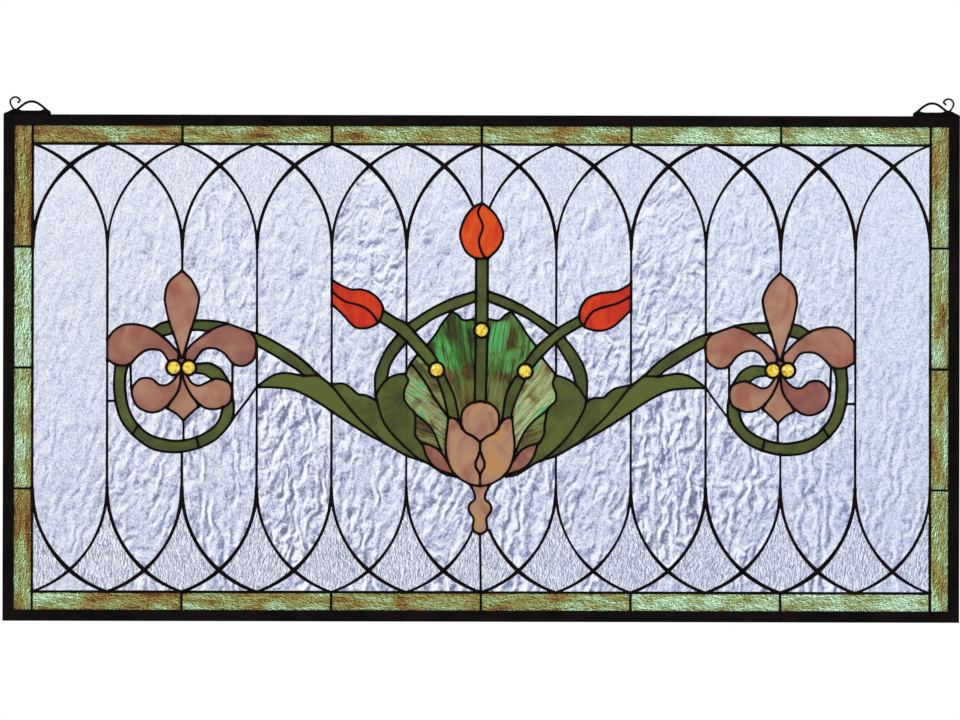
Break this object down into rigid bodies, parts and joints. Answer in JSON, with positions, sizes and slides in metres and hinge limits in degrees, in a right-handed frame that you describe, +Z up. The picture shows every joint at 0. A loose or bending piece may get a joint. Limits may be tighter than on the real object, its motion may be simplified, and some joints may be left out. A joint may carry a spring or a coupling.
{
  "type": "stained glass window",
  "caption": "Framed leaded glass panel with crossing arches, fleurs-de-lis, tulips and a lotus, hung from wire loops",
  "frame": {"origin": "midway between the two hanging loops, at the height where a hook bears on them, in the middle of the panel's thickness", "axes": "+Z up, +X to the right as seen from the front, the front towards -Y"},
  "size_m": [1.016, 0.007, 0.5575],
  "materials": {
    "clear_glass": "clear, rippled on the face",
    "border_glass": "opalescent, mottled green, olive and amber",
    "mauve_glass": "opalescent, mauve brown to amber",
    "orange_glass": "opalescent, streaky orange",
    "olive_glass": "opalescent, olive green",
    "fan_glass": "opalescent, streaky emerald, brown and pale green",
    "peach_glass": "opalescent, peach, amber and rose",
    "jewel_glass": "pressed, yellow, domed",
    "dark_metal": "black patina, satin"
  },
  "bodies": {
    "root": {"border_glass_bottom": "border_glass", "border_glass_left": "border_glass", "border_glass_right": "border_glass", "border_glass_top": "border_glass", "clear_glass_fan_left": "clear_glass", "clear_glass_fan_right": "clear_glass", "clear_glass_field": "clear_glass", "clear_glass_ring_left": "clear_glass", "clear_glass_ring_right": "clear_glass", "clear_glass_stem_left": "clear_glass", "clear_glass_stem_right": "clear_glass", "fan_left_inner": "fan_glass", "fan_left_outer": "fan_glass", "fan_right_inner": "fan_glass", "fan_right_outer": "fan_glass", "fleur_left_arc_inner": "olive_glass", "fleur_left_arc_outer": "olive_glass", "fleur_left_ground": "clear_glass", "fleur_left_jewel_inner": "jewel_glass", "fleur_left_jewel_outer": "jewel_glass", "fleur_left_lower_petals": "mauve_glass", "fleur_left_ring": "olive_glass", "fleur_left_stem": "olive_glass", "fleur_left_upper_petals": "mauve_glass", "fleur_right_arc_inner": "olive_glass", "fleur_right_arc_outer": "olive_glass", "fleur_right_ground": "clear_glass", "fleur_right_jewel_inner": "jewel_glass", "fleur_right_jewel_outer": "jewel_glass", "fleur_right_lower_petals": "mauve_glass", "fleur_right_ring": "olive_glass", "fleur_right_stem": "olive_glass", "fleur_right_upper_petals": "mauve_glass", "frame_bottom": "dark_metal", "frame_left": "dark_metal", "frame_right": "dark_metal", "frame_top": "dark_metal", "hanger_left": "dark_metal", "hanger_right": "dark_metal", "jewel_centre": "jewel_glass", "jewel_left": "jewel_glass", "jewel_right": "jewel_glass", "leaves_left": "olive_glass", "leaves_right": "olive_glass", "lotus_bud": "peach_glass", "lotus_petals": "peach_glass", "ring_left_lower": "olive_glass", "ring_left_upper": "olive_glass", "ring_right_lower": "olive_glass", "ring_right_upper": "olive_glass", "solder_seams": "dark_metal", "stem_centre_lower": "olive_glass", "stem_centre_upper": "olive_glass", "stem_left_lower": "olive_glass", "stem_left_upper": "olive_glass", "stem_right_lower": "olive_glass", "stem_right_upper": "olive_glass", "tulip_centre": "orange_glass", "tulip_left": "orange_glass", "tulip_right": "orange_glass"}
  },
  "joints": []
}
